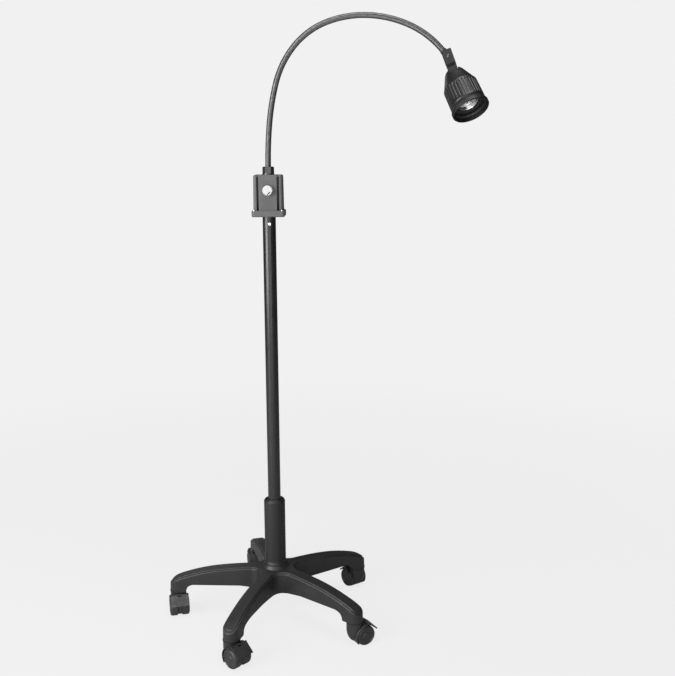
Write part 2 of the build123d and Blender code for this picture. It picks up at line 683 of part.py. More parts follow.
def make_tilt_arm():
    """Fork over the tongue above, knuckle between the head's cheeks below."""
    slot_half = TONGUE_T / 2 + GAP
    with BuildPart() as arm:
        with BuildSketch(Plane.YZ.offset(-TILT_ARM_W / 2)):
            with BuildLine():
                Polyline(
                    (-7.5, -TILT_ARM_TOP), (7.5, -TILT_ARM_TOP), (7.5, 16), (4.6, 24),
                    (4.6, ARM_REACH), (-4.6, ARM_REACH), (-4.6, 24), (-7.5, 16),
                    (-7.5, -TILT_ARM_TOP),
                )
            make_face()
            with Locations((0, ARM_REACH)):
                Circle(KNUCKLE_R)
        extrude(amount=TILT_ARM_W)
        edges = arm.edges().filter_by(Axis.Y).group_by(Axis.Z)[0]
        fillet(edges, 2.5)
        with BuildSketch(Plane.YZ.offset(-TILT_ARM_W)):
            with Locations((0, -4)):
                Rectangle(2 * slot_half, 32)
        extrude(amount=2 * TILT_ARM_W, mode=Mode.SUBTRACT)
        with BuildSketch(Plane.XZ.offset(-10)):
            Circle(SCREW_1_R)
        extrude(amount=20, mode=Mode.SUBTRACT)
        with BuildSketch(Plane.YZ.offset(-TILT_ARM_W)):
            with Locations((0, ARM_REACH)):
                Circle(SCREW_2_R + RUNNING)
        extrude(amount=2 * TILT_ARM_W, mode=Mode.SUBTRACT)
    place(arm, TILT_ARM, "tilt_arm")

    with BuildPart() as screw:
        with BuildSketch(Plane.XZ.offset(-7.5)):
            Circle(SCREW_1_R)
        extrude(amount=15)
        for side in (1, -1):
            with BuildSketch(Plane.XZ.offset(-7.5 * side)):
                Circle(5)
            extrude(amount=-2.2 * side, taper=10)
        with BuildSketch(Plane.XZ.offset(-8.8)):
            RegularPolygon(2, 6)
        extrude(amount=-2, mode=Mode.SUBTRACT)
    place(screw, TILT_ARM, "neck_pivot_screw")


def make_head():
    slot_half = TILT_ARM_W / 2 + GAP
    with BuildPart() as cap:
        with BuildSketch(Plane.XZ):
            with BuildLine():
                Polyline(
                    (0, 0), (CAP_TOP_R - 1, 0), (CAP_TOP_R + 2, 4.5), (CAP_TOP_R + 4.5, 10),
                    (BARREL_R - 2, CAP_H - 4), (BARREL_R, CAP_H), (BARREL_R - 1.2, CAP_H),
                    (BARREL_R - 1.2, CAP_H + 5), (BARREL_R - 3.2, CAP_H + 5),
                    (BARREL_R - 3.2, CAP_H - 2), (CAP_TOP_R + 3, 20), (0, 20), (0, 0),
                )
            make_face()
        revolve(axis=Axis.Z)
        rounded = cap.edges().filter_by(GeomType.CIRCLE).group_by(lambda e: round(e.center().Z, 1))
        fillet([e for g in rounded[1:4] for e in g if e.radius > CAP_TOP_R - 2], 1.2)
        # slot that the tilt arm swings in
        with BuildSketch(Plane.YZ.offset(-slot_half)):
            with Locations((0, SLOT_FLOOR - 15)):
                Rectangle(120, 30)
        extrude(amount=2 * slot_half, mode=Mode.SUBTRACT)
        with BuildSketch(Plane.YZ.offset(-40)):
            with Locations((0, CAP_PIVOT)):
                Circle(SCREW_2_R)
        extrude(amount=80, mode=Mode.SUBTRACT)
        for side in (-1, 1):
            with BuildSketch(Plane.YZ.offset(side * CHEEK_X)):
                with Locations((0, CAP_PIVOT)):
                    Circle(4.6)
            extrude(amount=side * 12, mode=Mode.SUBTRACT)
    place(cap, HEAD, "head_cap")

    with BuildPart() as pin:
        with BuildSketch(Plane.YZ.offset(-CHEEK_X)):
            with Locations((0, CAP_PIVOT)):
                Circle(SCREW_2_R)
        extrude(amount=2 * CHEEK_X)
        for side in (-1, 1):
            with BuildSketch(Plane.YZ.offset(side * CHEEK_X)):
                with Locations((0, CAP_PIVOT)):
                    Circle(4.4)
            extrude(amount=side * 3)
        with BuildSketch(Plane.YZ.offset(CHEEK_X + 1.8)):
            with Locations((0, CAP_PIVOT)):
                RegularPolygon(2, 6)
        extrude(amount=3, mode=Mode.SUBTRACT)
    place(pin, HEAD, "head_pivot_screw")

    inner_r = BARREL_R - 1.15
    with BuildPart() as barrel:
        with BuildSketch(Plane.XZ):
            with BuildLine():
                Polyline(
                    (inner_r, CAP_H), (BARREL_R, CAP_H), (BARREL_R + 1.4, CAP_H + 3),
                    (BARREL_MOUTH_R, RIB_END), (BARREL_MOUTH_R, BARREL_END),
                    (inner_r, BARREL_END), (inner_r, CAP_H),
                )
            make_face()
        revolve(axis=Axis.Z)
        with BuildSketch(Plane.XY.offset(CAP_H + 4)):
            with PolarLocations(BARREL_MOUTH_R + 0.4, RIBS):
                Rectangle(RIB_GAP.Y, RIB_GAP.X)
        extrude(amount=RIB_END - CAP_H - 4, mode=Mode.SUBTRACT)
    place(barrel, HEAD, "head_barrel")

    spigot_r = inner_r - RUNNING
    with BuildPart() as ring:
        with BuildSketch(Plane.XZ):
            with BuildLine():
                Polyline(
                    (spigot_r - 1.4, BARREL_END - 5), (spigot_r, BARREL_END - 5), (spigot_r, BARREL_END),
                    (BARREL_MOUTH_R, BARREL_END), (RING_R, BARREL_END + 6), (RING_R, HEAD_LENGTH - 2),
                    (RING_R - 1.2, HEAD_LENGTH), (RING_R - 3, HEAD_LENGTH),
                    (RING_R - 4, BARREL_END + 4), (spigot_r - 1.4, BARREL_END + 1),
                    (spigot_r - 1.4, BARREL_END - 5),
                )
            make_face()
        revolve(axis=Axis.Z)
    place(ring, HEAD, "front_ring")

    carrier_r = spigot_r - 1.4 - RUNNING
    with BuildPart() as carrier:
        with BuildSketch(Plane.XZ):
            with BuildLine():
                Polyline(
                    (LAMP_R + 0.3, LAMP_RIM - 5), (carrier_r, LAMP_RIM - 2), (carrier_r, LAMP_RIM + 4),
                    (carrier_r - 2, LAMP_RIM + 4), (carrier_r - 2.4, LAMP_RIM + 1),
                    (LAMP_R + 1.6, LAMP_RIM - 1), (LAMP_R + 1.2, LAMP_RIM + 1.2),
                    (LAMP_R + 0.3, LAMP_RIM + 1.2), (LAMP_R + 0.3, LAMP_RIM - 5),
                )
            make_face()
        revolve(axis=Axis.Z)
    place(carrier, HEAD, "carrier_ring")


def make_lamp():
    """Reflector lamp: glass dish, filament capsule and the holder behind them."""
    dish_z = LAMP_RIM - 34
    with BuildPart() as reflector:
        with BuildSketch(Plane.XZ):
            with BuildLine():
                outer = Spline(
                    (7.5, dish_z), (19, dish_z + 13), (LAMP_R - 0.4, LAMP_RIM - 4), (LAMP_R, LAMP_RIM),
                    tangents=[(1, 0.35), (0, 1)],
                )
                inner = Spline(
                    (LAMP_R - 1.6, LAMP_RIM), (LAMP_R - 2, LAMP_RIM - 4), (18, dish_z + 14.5),
                    (7.5, dish_z + 1.8),
                    tangents=[(0, -1), (-1, -0.35)],
                )
                Line(outer @ 1, inner @ 0)
                Polyline(inner @ 1, (4, dish_z + 1.8), (4, dish_z - 8), (7.5, dish_z - 8), outer @ 0)
            make_face()
        revolve(axis=Axis.Z)
    place(reflector, HEAD, "lamp_reflector")

    with BuildPart() as capsule:
        with BuildSketch(Plane.XZ):
            with BuildLine():
                dome = CenterArc((0, LAMP_RIM - 12), 4.5, 0, 90)
                Polyline(dome @ 0, (4.5, dish_z + 6), (3.2, dish_z + 2), (3.2, dish_z - 8),
                         (0, dish_z - 8), dome @ 1)
            make_face()
        revolve(axis=Axis.Z)
    place(capsule, HEAD, "lamp_capsule")

    with BuildPart() as holder:
        with BuildSketch(Plane.XY.offset(dish_z - 20)):
            RectangleRounded(26, 17, 3)
        extrude(amount=12)
        with BuildSketch(Plane.XY.offset(20)):
            RectangleRounded(12, 8, 1.5)
        extrude(amount=dish_z - 40)
    place(holder, HEAD, "lamp_holder")


# ------------------------------------------------------------------ casters

def turned_wheel():
    """Wheel turned about its axle, its blind bore open towards the web."""
    inner = WEB_W / 2
    outer = inner + WHEEL_W
    with BuildPart() as wheel:
        with BuildSketch(Plane.XY):
            with BuildLine():
                shoulder = CenterArc((WHEEL_R - SHOULDER_R, outer - SHOULDER_R), SHOULDER_R, 0, 90)
                Polyline(
                    (AXLE_R + RUNNING, inner), (WHEEL_R - 2, inner), (WHEEL_R, inner + 2), shoulder @ 0,
                )
                Polyline(
                    shoulder @ 1, (WHEEL_R - 7.4, outer - 1.6), (9, outer - 1.6),
                    (7.5, outer - 0.4), (0, outer - 0.4), (0, outer - 2.6),
                    (AXLE_R + RUNNING, outer - 2.6), (AXLE_R + RUNNING, inner),
                )
            make_face()
        revolve(axis=Axis.Y)
    return wheel


def make_casters():
    half = WHEEL_W + WEB_W / 2
    tread_gap = 0.9

    with BuildPart() as housing:
        # hood: a band round the wheels' front and top
        with BuildSketch(Plane.XZ.offset(-half + 0.2)):
            with Locations((TRAIL, WHEEL_R)):
                Circle(HOOD_R)
            with Locations((HOOD_END + 50, WHEEL_R)):
                Rectangle(100, 100, mode=Mode.SUBTRACT)
            with Locations((TRAIL, -41)):
                Rectangle(200, 100, mode=Mode.SUBTRACT)
        extrude(amount=2 * half - 0.4)
        hood_rim = housing.edges().filter_by(GeomType.CIRCLE)
        fillet(hood_rim, 2)
        # bowl-shaped boss of the stem
        with BuildSketch(Plane.XZ):
            with BuildLine():
                bowl = Spline((ARM_END_R, 42), (18.6, 28), (12, 15), (3, 9), tangents=[(0, -1), (-1, -0.3)])
                Polyline(bowl @ 1, (0, 9), (0, HOOD_TOP_Z), (ARM_END_R, HOOD_TOP_Z), bowl @ 0)
            make_face()
        revolve(axis=Axis.Z)
        # room for the two wheels
        for side in (1, -1):
            with BuildSketch(Plane.XZ.offset(side * (WEB_W / 2 - GAP))):
                with Locations((TRAIL, WHEEL_R)):
                    Circle(WHEEL_R + tread_gap)
            extrude(amount=side * (WHEEL_W + 10), mode=Mode.SUBTRACT)
        # web between the wheels
        with BuildSketch(Plane.XZ.offset(-WEB_W / 2 + GAP)):
            with Locations((TRAIL, WHEEL_R)):
                Circle(WHEEL_R - 1.2)
            with Locations((TRAIL, -41)):
                Rectangle(200, 100, mode=Mode.SUBTRACT)
        extrude(amount=WEB_W - 2 * GAP)
        # lug that carries the pedal's hinge
        with BuildSketch(Plane.XZ.offset(-WEB_W / 2 + GAP)):
            with Locations((PEDAL_HINGE.X, PEDAL_HINGE.Z)):
                Circle(2.6)
            with Locations((PEDAL_HINGE.X - 5, PEDAL_HINGE.Z - 5)):
                Rectangle(10, 10)
        extrude(amount=WEB_W - 2 * GAP)
        with BuildSketch(Plane.XZ.offset(-PEDAL_W)):
            with Locations((PEDAL_HINGE.X, PEDAL_HINGE.Z)):
                Circle(PIN_R + RUNNING)
        extrude(amount=2 * PEDAL_W, mode=Mode.SUBTRACT)
        # bores of the stem and the axle
        with BuildSketch(Plane.XY.offset(STEM_FOOT_Z - 1)):
            Circle(STEM_R + RUNNING)
        extrude(amount=50, mode=Mode.SUBTRACT)
        with BuildSketch(Plane.XZ.offset(-WEB_W)):
            with Locations((TRAIL, WHEEL_R)):
                Circle(AXLE_R + RUNNING)
        extrude(amount=2 * WEB_W, mode=Mode.SUBTRACT)

    with BuildPart() as axle:
        with BuildSketch(Plane.XZ.offset(-half + 3)):
            with Locations((TRAIL, WHEEL_R)):
                Circle(AXLE_R)
        extrude(amount=2 * half - 6)
        chamfer(axle.edges().filter_by(GeomType.CIRCLE), 0.5)

    # brake pedal: hinged at its upper edge, hollowed round the wheels, with a thin lip
    down = Vector(cos(radians(PEDAL_SLOPE)), -sin(radians(PEDAL_SLOPE)))
    out = Vector(sin(radians(PEDAL_SLOPE)), cos(radians(PEDAL_SLOPE)))
    hinge = Vector(PEDAL_HINGE.X, PEDAL_HINGE.Z)
    face = hinge + out * PEDAL_BACK
    lip = face + down * PEDAL_LENGTH
    with BuildPart() as pedal:
        with BuildSketch(Plane.XZ.offset(-PEDAL_W / 2)):
            with BuildLine():
                Polyline(
                    face - down * 1.5, lip, lip - out * 3.0 - down * 1.0, face - out * 2.6 + down * 19,
                    (HOOD_END + 0.8, WHEEL_R + 20), (HOOD_END + 0.8, hinge.Y), face - down * 1.5,
                )
            make_face()
            with Locations((hinge.X, hinge.Y)):
                Circle(2.4)
            with Locations((TRAIL, WHEEL_R)):
                Circle(PEDAL_REACH_R, mode=Mode.SUBTRACT)
        extrude(amount=PEDAL_W)
        # slot round the housing's lug, and the hinge pin left across it
        with BuildSketch(Plane.XZ.offset(-WEB_W / 2)):
            with Locations((hinge.X, hinge.Y)):
                Rectangle(10, 30)
        extrude(amount=WEB_W, mode=Mode.SUBTRACT)
        with BuildSketch(Plane.XZ.offset(-WEB_W)):
            with Locations((hinge.X, hinge.Y)):
                Circle(PIN_R)
        extrude(amount=2 * WEB_W)

    wheel = turned_wheel()
    for index in range(ARMS):
        turn = radians(TRAIL_DIRECTIONS[index])
        frame = Plane(origin=stem_point(index), x_dir=(cos(turn), sin(turn), 0), z_dir=(0, 0, 1))
        axle_point = frame.from_local_coords(Vector(TRAIL, 0, WHEEL_R))
        name = f"caster_{index + 1}"
        place(housing, frame, f"{name}_housing")
        place(axle, frame, f"{name}_axle")
        place(pedal, frame, f"{name}_brake")
        wheel_frame = Plane(origin=axle_point, x_dir=frame.x_dir, z_dir=frame.z_dir)
        place(wheel, wheel_frame, f"{name}_wheel_left")
        far_frame = Plane(origin=axle_point, x_dir=-frame.x_dir, z_dir=frame.z_dir)
        place(wheel, far_frame, f"{name}_wheel_right")


make_star_base()
make_caster_mounts()
make_column()
make_box()
make_electrics()
make_gooseneck()
make_neck_fitting()
make_tilt_arm()
make_head()
make_lamp()
make_casters()
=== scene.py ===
"""Looks of the examination lamp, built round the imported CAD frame. Lengths are in metres."""
import json
from math import cos, floor, pi, radians, sin

import bmesh
import bpy
from mathutils import Euler, Matrix, Vector


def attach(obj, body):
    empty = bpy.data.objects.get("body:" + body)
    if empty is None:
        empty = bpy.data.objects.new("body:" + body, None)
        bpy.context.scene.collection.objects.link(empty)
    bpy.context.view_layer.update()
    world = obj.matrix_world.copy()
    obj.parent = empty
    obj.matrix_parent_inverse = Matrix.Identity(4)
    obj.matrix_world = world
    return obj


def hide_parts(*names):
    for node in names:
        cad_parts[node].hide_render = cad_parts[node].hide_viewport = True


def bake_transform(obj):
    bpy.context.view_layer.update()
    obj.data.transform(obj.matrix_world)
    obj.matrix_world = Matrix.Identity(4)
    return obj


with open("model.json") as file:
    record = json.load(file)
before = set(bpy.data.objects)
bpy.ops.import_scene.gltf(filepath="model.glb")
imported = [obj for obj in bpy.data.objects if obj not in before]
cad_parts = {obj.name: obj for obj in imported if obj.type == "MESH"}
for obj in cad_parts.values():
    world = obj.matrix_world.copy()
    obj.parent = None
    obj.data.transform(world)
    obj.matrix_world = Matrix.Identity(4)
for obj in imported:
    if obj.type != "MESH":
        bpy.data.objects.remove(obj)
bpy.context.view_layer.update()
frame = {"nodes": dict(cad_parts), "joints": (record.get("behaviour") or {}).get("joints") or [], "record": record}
NODES = frame["nodes"]
JOINTS = {joint["name"]: joint for joint in frame["joints"]}
SLOTS = {part["node"]: part["material_slot"] for part in frame["record"]["subparts"]}

# Camera: eye, downward pitch, roll, lens and film width
EYE = (0.164, -2.224, 1.187)
PITCH = 11.44
ROLL = -0.246
LENS = 48.67
SENSOR = 36.0

# Studio
PALE = 0.88                    # what the camera sees behind the object
STUDIO = 0.06                  # light that comes from everywhere
FLOOR_R = 40
FLOOR_SIDES = 96
FLOOR_SHADE = 0.10             # share of the floor's tone that takes shadows, near the object
FADE = (0.5, 3.0)              # distances between which that share falls to nothing
FLOOR_TONE = 0.8               # of that share
FLOOR_BOUNCE = 0.5             # what the floor gives back to the object

FRONT = Vector((0, -1, 0))     # towards the viewer

# Gooseneck, as the frame has it: equal arcs and the headings at their ends
ARC = 0.0957
HEADINGS = [0.0, 5.5, 14.5, 40.0, 70.0, 92.0, 112.0, 137.0]
LINKS = len(HEADINGS) - 1
NECK_START = 1.157
NECK_FOOT = -0.014             # where the spiral starts, inside its nut
NECK_TAIL = 0.0088             # how far it runs past the last arc, into its fitting
NECK_R = 0.0070
NECK_SIDES = 30
PITCH_WOUND = 0.0026           # from one turn of the spiral to the next
WOUND_DEPTH = 0.00050
SAMPLES_PER_TURN = 6

# End fitting of the neck. Outline of the band: radius, height from the neck's end
BAND_SIDES = 48
BAND_OUTLINE = [
    (0.0050, 0.0075), (0.0074, 0.0075), (0.0079, 0.0080), (0.0081, 0.0088), (0.0081, 0.0100),
    (0.0079, 0.0108), (0.0074, 0.0113), (0.0050, 0.0113),
]
TONGUE_HALF_W = 0.0080
TONGUE_FOOT = 0.0110
TONGUE_REACH = 0.0260          # from the neck's end to the pivot
TONGUE_HALF_T = 0.0035
TONGUE_BEVEL = 0.0006
TONGUE_STEPS = 20

# Tilt arm and its upper screw. Outline of the screw: radius, height towards the front
PIVOT = Vector(JOINTS["head_swing"]["pos_m"])
ARM_LEAN = radians(21.5)       # from straight down towards +X
ARM_DOWN = Vector((sin(ARM_LEAN), 0, -cos(ARM_LEAN)))
ACROSS = Vector((cos(ARM_LEAN), 0, sin(ARM_LEAN)))
SCREW_SIDES = 32
SCREW_OUTLINE = [
    (0.0012, 0.00975), (0.0024, 0.0095), (0.0034, 0.0090), (0.0041, 0.0084), (0.0044, 0.0076),
    (0.0030, 0.0076), (0.0030, -0.0076), (0.0038, -0.0076), (0.0038, -0.0084), (0.0030, -0.0091),
    (0.0015, -0.0094),
]
SCREW_TOP = 0.0098
SCREW_FOOT = -0.0095
SCREW_SLOT = (0.0006, 0.0007)  # its half width and depth
SCREW_SLOT_FLOOR = 0.008       # no slot below this height

# Lamp head: its axis, and the top of its cap
HEAD_TILT = radians(31.0)      # towards the viewer, from the tilt arm
CAP_PIVOT = 0.008              # from the cap's top to the lower pivot
HEAD_AXIS = ARM_DOWN * cos(HEAD_TILT) + FRONT * sin(HEAD_TILT)
CAP_TOP = Vector(JOINTS["head_tilt"]["pos_m"]) - HEAD_AXIS * CAP_PIVOT

# Reflector lamp, with heights from the cap's top
LAMP_RIM = 0.092
DISH_FOOT = 0.058
DISH_FLOOR = DISH_FOOT + 0.0018
THROAT_R = 0.0045
MOUTH_R = 0.0234
DISH_CURVE = 2.1               # power of the dish's curve
FACETS = 24
FACET_ROWS = 7
DISH_BACK = [                  # outside of the dish: radius, height
    (0.0250, LAMP_RIM), (0.0249, LAMP_RIM - 0.002), (0.0246, LAMP_RIM - 0.004),
    (0.0236, LAMP_RIM - 0.009), (0.0219, LAMP_RIM - 0.015), (0.0190, LAMP_RIM - 0.021),
    (0.0150, LAMP_RIM - 0.0265), (0.0110, LAMP_RIM - 0.0315), (0.0075, DISH_FOOT),
    (0.0075, DISH_FOOT - 0.008), (0.0040, DISH_FOOT - 0.008), (0.0040, DISH_FOOT + 0.0010),
]

# Filament, across the capsule
COIL_TURNS = 9
COIL_STEPS = 12                # a turn
COIL_R = 0.0007
COIL_HALF = 0.0022
COIL_DEPTH = 0.018             # below the lamp's rim
COIL_WIRE_R = 0.00014
COIL_WIRE_SIDES = 6
LEAD_WIRE_R = 0.0003
LEAD_WIRE_SIDES = 8
LEAD_FOOT = DISH_FOOT + 0.003
LEAD_KNEE = LAMP_RIM - 0.020

# Ribbed barrel. Outline: radius, height from the cap's top, share of the full cut between ribs
RIBS = 32
RIB_SAMPLES = 12               # across a rib and the cut beside it
RIB_DEPTH = 0.0016
RIB_CUT_HALF = 0.16            # half width of the cut's floor, in ribs
RIB_FLANK = 0.09               # width of its side, in ribs
BARREL_OUTLINE = [
    (0.0388, 0.0410, 0), (0.0396, 0.0411, 0), (0.0404, 0.0425, 0), (0.0409, 0.0440, 0),
    (0.0411, 0.0460, 0), (0.0411, 0.0478, 0.5), (0.0411, 0.0500, 0.9), (0.0412, 0.0520, 1),
    (0.0415, 0.0620, 1), (0.0419, 0.0820, 1), (0.0419, 0.0850, 0.9), (0.0420, 0.0875, 0.5),
    (0.0420, 0.0900, 0), (0.0420, 0.0915, 0), (0.0420, 0.0974, 0), (0.0386, 0.0975, 0),
    (0.03845, 0.0970, 0), (0.03845, 0.0412, 0),
]

# Control box: the knob's pointer, from its lower left end to its upper right one
KNOB_Z = JOINTS["knob_turn"]["pos_m"][2]
POINTER_Y = -0.0445
POINTER_START = Vector((-0.0006, POINTER_Y, KNOB_Z - 0.0100))
POINTER_END = Vector((0.0065, POINTER_Y, KNOB_Z - 0.0029))
POINTER_HALF_W = 0.0014
POINTER_HALF_T = 0.0004
POINTER_STEPS = [0.0, 0.02, 0.06, 0.5, 0.94, 0.98, 1.0]
POINTER_TIP = 0.45             # size of its very ends
POINTER_GROWTH = 9             # how fast they grow to full size
POINTER_SIDES = 12

# Control box: grooves at its front, and the black strips on their floors, painted shade that darkens the grooves
GROOVE_X = 0.0245
GROOVE_FLOOR = -0.0275
GROOVE_ENDS = (1.0535, 1.1325)
SHADE_STRIP_HALF_W = 0.0024
SHADE_STRIP_T = 0.0007
SHADE_STRIP_RIBS = 3
SHADE_STRIP_RIB_H = 0.0005
SHADE_STRIP_STEPS = 8                 # a rib


# ------------------------------------------------------------ camera, light

def link(thing):
    bpy.context.scene.collection.objects.link(thing)


def make_camera():
    camera = bpy.data.objects.new("camera", bpy.data.cameras.new("camera"))
    link(camera)
    camera.data.sensor_width = SENSOR
    camera.data.lens = LENS
    camera.data.dof.use_dof = False
    pitch = Euler((radians(90 - PITCH), 0, 0)).to_matrix()
    roll = Euler((0, 0, radians(ROLL))).to_matrix()
    camera.matrix_world = Matrix.Translation(EYE) @ (pitch @ roll).to_4x4()
    bpy.context.scene.camera = camera


def area_light(name, place, target, size, power, spread=180):
    """Light of so many watts at a place, turned to the target; its spread is in degrees."""
    light = bpy.data.lights.new(name, "AREA")
    light.shape = "RECTANGLE"
    light.size, light.size_y = size
    light.energy = power
    light.spread = radians(spread)
    lamp = bpy.data.objects.new(name, light)
    link(lamp)
    lamp.location = place
    lamp.rotation_euler = (Vector(target) - Vector(place)).to_track_quat("-Z", "Y").to_euler()


def make_studio():
    """Pale background, faint light from everywhere, and the area lights."""
    world = bpy.data.worlds.new("studio")
    bpy.context.scene.world = world
    world.use_nodes = True
    nodes, links = world.node_tree.nodes, world.node_tree.links
    nodes.clear()
    out = nodes.new("ShaderNodeOutputWorld")
    mix = nodes.new("ShaderNodeMixShader")
    seen = nodes.new("ShaderNodeBackground")
    seen.inputs["Color"].default_value = (PALE, PALE, PALE, 1)
    light = nodes.new("ShaderNodeBackground")
    light.inputs["Color"].default_value = (1, 1, 1, 1)
    light.inputs["Strength"].default_value = STUDIO
    path = nodes.new("ShaderNodeLightPath")
    links.new(path.outputs["Is Camera Ray"], mix.inputs["Fac"])
    links.new(light.outputs[0], mix.inputs[1])
    links.new(seen.outputs[0], mix.inputs[2])
    links.new(mix.outputs[0], out.inputs["Surface"])

    area_light("key", (-1.9, -1.7, 1.35), target=(0, 0, 0.95), size=(1.9, 2.0), power=88)
    area_light("front", (0.3, -3.2, 1.3), target=(0.05, 0, 0.8), size=(2.6, 2.6), power=34)
    area_light("top", (0.3, -0.6, 3.2), target=(0.1, 0, 0.6), size=(1.6, 1.6), power=40)
    area_light("back", (-1.2, 2.6, 1.6), target=(0, 0, 0.7), size=(1.5, 1.5), power=5)
    area_light("below", (0.80, -0.75, 0.35), target=(0.47, -0.05, 1.30), size=(0.9, 0.9),
               power=1.0, spread=50)

    bpy.context.scene.view_settings.view_transform = "Standard"


def make_floor():
    """Pale floor that fades into the pale background far away."""
    mesh = bpy.data.meshes.new("floor")
    shape = bmesh.new()
    bmesh.ops.create_circle(shape, cap_ends=True, segments=FLOOR_SIDES, radius=FLOOR_R)
    shape.to_mesh(mesh)
    shape.free()
    ground = bpy.data.objects.new("floor", mesh)
    link(ground)
    material = bpy.data.materials.new("floor")
    material.use_nodes = True
    nodes, links = material.node_tree.nodes, material.node_tree.links
    nodes.clear()
    out = nodes.new("ShaderNodeOutputMaterial")
    seen = nodes.new("ShaderNodeEmission")
    seen.inputs["Color"].default_value = (PALE, PALE, PALE, 1)
    shaded = nodes.new("ShaderNodeBsdfDiffuse")
    shaded.inputs["Color"].default_value = (FLOOR_TONE, FLOOR_TONE, FLOOR_TONE, 1)
    bounce = nodes.new("ShaderNodeBsdfDiffuse")
    bounce.inputs["Color"].default_value = (FLOOR_BOUNCE, FLOOR_BOUNCE, FLOOR_BOUNCE, 1)
    place = nodes.new("ShaderNodeNewGeometry")
    away = nodes.new("ShaderNodeVectorMath")
    away.operation = "LENGTH"
    share = nodes.new("ShaderNodeMapRange")
    share.interpolation_type = "SMOOTHSTEP"
    share.inputs["From Min"].default_value, share.inputs["From Max"].default_value = FADE
    share.inputs["To Min"].default_value = FLOOR_SHADE
    share.inputs["To Max"].default_value = 0
    tone = nodes.new("ShaderNodeMixShader")
    path = nodes.new("ShaderNodeLightPath")
    which = nodes.new("ShaderNodeMixShader")
    links.new(place.outputs["Position"], away.inputs[0])
    links.new(away.outputs["Value"], share.inputs["Value"])
    links.new(share.outputs["Result"], tone.inputs["Fac"])
    links.new(seen.outputs[0], tone.inputs[1])
    links.new(shaded.outputs[0], tone.inputs[2])
    links.new(path.outputs["Is Camera Ray"], which.inputs["Fac"])
    links.new(bounce.outputs[0], which.inputs[1])
    links.new(tone.outputs[0], which.inputs[2])
    links.new(which.outputs[0], out.inputs["Surface"])
    mesh.materials.append(material)


# ---------------------------------------------------------------- materials

class Paint:
    """A material of one shader, with noises in the piece's own coordinates for its detail."""

    def __init__(self, name, roughness, metallic=0.0, coat=0.0, coat_roughness=0.1, ior=1.5):
        self.name = name
        self.material = bpy.data.materials.new(name)
        self.material.use_nodes = True
        self.nodes = self.material.node_tree.nodes
        self.links = self.material.node_tree.links
        self.shader = self.nodes["Principled BSDF"]
        self.shader.inputs["Roughness"].default_value = roughness
        self.shader.inputs["Metallic"].default_value = metallic
        self.shader.inputs["Coat Weight"].default_value = coat
        self.shader.inputs["Coat Roughness"].default_value = coat_roughness
        self.shader.inputs["IOR"].default_value = ior
        self.where = self.nodes.new("ShaderNodeTexCoord").outputs["Object"]

    def noise(self, scale, detail=3.0, stretch=(1, 1, 1)):
        """Noise of so many waves a metre, drawn out along an axis by stretch."""
        place = self.nodes.new("ShaderNodeMapping")
        place.inputs["Scale"].default_value = stretch
        noise = self.nodes.new("ShaderNodeTexNoise")
        noise.inputs["Scale"].default_value = scale
        noise.inputs["Detail"].default_value = detail
        self.links.new(self.where, place.inputs["Vector"])
        self.links.new(place.outputs["Vector"], noise.inputs["Vector"])
        return noise.outputs["Fac"]

    def ranged(self, value, low, high, start=0.3, end=0.7):
        """Value from start to end, spread over low to high."""
        ranged = self.nodes.new("ShaderNodeMapRange")
        ranged.inputs["From Min"].default_value = start
        ranged.inputs["From Max"].default_value = end
        ranged.inputs["To Min"].default_value = low
        ranged.inputs["To Max"].default_value = high
        self.links.new(value, ranged.inputs["Value"])
        return ranged.outputs["Result"]

    def mixed(self, factor, first, second):
        """Colour between first and second, each a colour or a socket."""
        mix = self.nodes.new("ShaderNodeMix")
        mix.data_type = "RGBA"
        self.links.new(factor, mix.inputs["Factor"])
        for name, colour in (("A", first), ("B", second)):
            socket = [s for s in mix.inputs if s.name == name and s.type == "RGBA"][0]
            if isinstance(colour, bpy.types.NodeSocket):
                self.links.new(colour, socket)
            else:
                socket.default_value = (*colour, 1)
        return [s for s in mix.outputs if s.type == "RGBA"][0]

    def colour(self, socket):
        self.links.new(socket, self.shader.inputs["Base Color"])

    def roughness(self, socket):
        self.links.new(socket, self.shader.inputs["Roughness"])

    def bump(self, height, distance):
        bump = self.nodes.new("ShaderNodeBump")
        bump.inputs["Distance"].default_value = distance
        self.links.new(height, bump.inputs["Height"])
        self.links.new(bump.outputs["Normal"], self.shader.inputs["Normal"])


def shade(colour, factor):
    return tuple(c * factor for c in colour)


def moulded(name, colour, roughness, grain=1400.0, grain_depth=0.00006, coat=0.0, spread=0.12):
    """Moulded plastic: fine grain, faint flow marks and slightly uneven gloss."""
    paint = Paint(name, roughness, coat=coat, coat_roughness=0.25)
    cloud = paint.ranged(paint.noise(18.0, 4.0), 0, 1)
    grains = paint.noise(grain, 2.0)
    specks = paint.ranged(grains, 0, 0.35, 0.55, 0.8)
    base = paint.mixed(cloud, shade(colour, 1 - spread), shade(colour, 1 + spread))
    paint.colour(paint.mixed(specks, base, shade(colour, 1.5)))
    paint.roughness(paint.ranged(paint.noise(60.0, 3.0), roughness - 0.06, roughness + 0.08))
    paint.bump(grains, grain_depth)
    return paint


def sprayed(name, colour, roughness, coat):
    """Stoved paint: orange peel, light dust specks, worn patches."""
    paint = Paint(name, roughness, coat=coat, coat_roughness=0.12)
    cloud = paint.ranged(paint.noise(9.0, 5.0), 0, 1)
    dust = paint.ranged(paint.noise(2600.0, 1.0), 0, 0.2, 0.68, 0.8)
    base = paint.mixed(cloud, shade(colour, 0.88), shade(colour, 1.12))
    paint.colour(paint.mixed(dust, base, shade(colour, 2.0)))
    paint.roughness(paint.ranged(paint.noise(35.0, 4.0), roughness - 0.07, roughness + 0.09))
    paint.bump(paint.noise(420.0, 2.0), 0.00002)
    return paint


